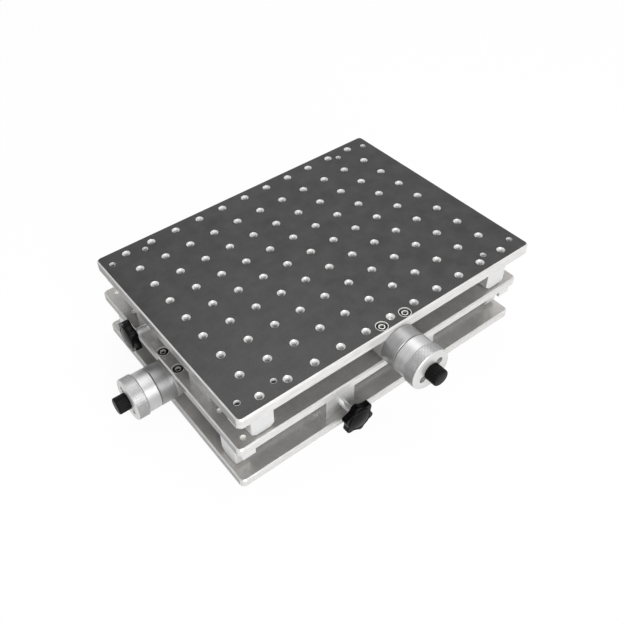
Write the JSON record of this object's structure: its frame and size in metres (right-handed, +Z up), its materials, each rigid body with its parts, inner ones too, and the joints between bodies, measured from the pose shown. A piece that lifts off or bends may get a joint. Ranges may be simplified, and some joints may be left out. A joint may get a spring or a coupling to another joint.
{
  "type": "cross slide table",
  "caption": "Manual two-axis cross slide table: tapped top plate over a saddle and a base, round guide shafts, lead screws with knurled handwheels, star-knob slide locks.",
  "frame": {"origin": "centre of the base plate's underside", "axes": "+X to the right along the long side, the way the saddle travels; +Y to the back, the way the table travels; +Z up, normal to the work surface"},
  "size_m": [0.3479, 0.2734, 0.09],
  "materials": {
    "plate": "dark grey anodised plate, fine mottled grain on the faces, bright machined edges",
    "support": "light grey anodised, fine machined grain",
    "block": "light grey anodised, satin",
    "shaft": "ground and polished hardened steel",
    "black_screw": "black oxide steel, slightly oily",
    "bright_screw": "bright zinc plated steel",
    "steel_screw": "plain steel",
    "bearing": "bearing steel with pressed shields",
    "retainer": "dark turned steel",
    "nut": "bearing bronze, machined",
    "housing": "turned aluminium, fine concentric marks",
    "lead_screw": "rolled steel thread with a thin film of oil",
    "drum": "turned aluminium, satin",
    "wheel": "turned aluminium with a fine diamond knurl",
    "end_knob": "black moulded plastic, fluted rim",
    "pad": "turned brass",
    "stud": "bright plated steel thread",
    "star_knob": "black moulded plastic, soft gloss"
  },
  "bodies": {
    "base": {"base_plate": "plate", "x_bearing_block_front_right": "block", "x_bearing_block_rear_left": "block", "x_bearing_block_rear_right": "block", "x_block_screws": "steel_screw", "x_linear_bearings": "bearing", "x_lock_block": "block", "x_nut_block": "nut"},
    "saddle": {"saddle_plate": "plate", "x_ball_bearings": "bearing", "x_bearing_retainer": "retainer", "x_housing_screws": "bright_screw", "x_screw_housing": "housing", "x_shaft_front": "shaft", "x_shaft_rear": "shaft", "x_shaft_support_front_left": "support", "x_shaft_support_front_right": "support", "x_shaft_support_rear_left": "support", "x_shaft_support_rear_right": "support", "x_support_grub_screws": "black_screw", "x_support_screws": "black_screw", "y_bearing_block_left_front": "block", "y_bearing_block_right_front": "block", "y_bearing_block_right_rear": "block", "y_block_screws": "steel_screw", "y_linear_bearings": "bearing", "y_lock_block": "block", "y_nut_block": "nut"},
    "table": {"table_plate": "plate", "y_ball_bearings": "bearing", "y_bearing_retainer": "retainer", "y_housing_screws": "bright_screw", "y_screw_housing": "housing", "y_shaft_left": "shaft", "y_shaft_right": "shaft", "y_shaft_support_left_front": "support", "y_shaft_support_left_rear": "support", "y_shaft_support_right_front": "support", "y_shaft_support_right_rear": "support", "y_support_grub_screws": "black_screw", "y_support_screws": "black_screw"},
    "x_handwheel": {"x_end_knob": "end_knob", "x_handwheel_drum": "drum", "x_knurled_wheel": "wheel", "x_lead_screw": "lead_screw", "x_wheel_screws": "bright_screw"},
    "y_handwheel": {"y_end_knob": "end_knob", "y_handwheel_drum": "drum", "y_knurled_wheel": "wheel", "y_lead_screw": "lead_screw", "y_wheel_screws": "bright_screw"},
    "x_lock_pad": {"x_lock_pad": "pad"},
    "x_lock_knob": {"x_lock_star_knob": "star_knob", "x_lock_stud": "stud"},
    "y_lock_pad": {"y_lock_pad": "pad"},
    "y_lock_knob": {"y_lock_star_knob": "star_knob", "y_lock_stud": "stud"}
  },
  "joints": [
    {"name": "saddle_slide", "type": "slide", "parent": "base", "child": "saddle", "axis": [1, 0, 0], "range_m": [-0.071, 0.069]},
    {"name": "table_slide", "type": "slide", "parent": "saddle", "child": "table", "axis": [0, 1, 0], "range_m": [-0.0245, 0.0355]},
    {"name": "x_handwheel_turn", "type": "hinge", "parent": "saddle", "child": "x_handwheel", "pos_m": [-0.16, 0, 0.029], "axis": [1, 0, 0], "range_deg": [-8525, 8285]},
    {"name": "y_handwheel_turn", "type": "hinge", "parent": "table", "child": "y_handwheel", "pos_m": [0.001, -0.125, 0.069], "axis": [0, 1, 0], "range_deg": [-2945, 4265]},
    {"name": "x_lock_slide", "type": "slide", "parent": "base", "child": "x_lock_pad", "axis": [0, -1, 0], "range_m": [-0.00035, 0.00121]},
    {"name": "x_lock_turn", "type": "hinge", "parent": "x_lock_pad", "child": "x_lock_knob", "pos_m": [-0.045, -0.115, 0.018], "axis": [0, -1, 0], "range_deg": [-150, 540]},
    {"name": "y_lock_slide", "type": "slide", "parent": "saddle", "child": "y_lock_pad", "axis": [-1, 0, 0], "range_m": [-0.00035, 0.00121]},
    {"name": "y_lock_turn", "type": "hinge", "parent": "y_lock_pad", "child": "y_lock_knob", "pos_m": [-0.155, 0.0355, 0.058], "axis": [-1, 0, 0], "range_deg": [-150, 540]}
  ],
  "couplings": [
    {"joint": "x_handwheel_turn", "follows": "saddle_slide", "rad_per_m": 2094.4},
    {"joint": "y_handwheel_turn", "follows": "table_slide", "rad_per_m": 2094.4},
    {"joint": "x_lock_slide", "follows": "x_lock_turn", "m_per_rad": 0.00012732},
    {"joint": "y_lock_slide", "follows": "y_lock_turn", "m_per_rad": 0.00012732}
  ]
}
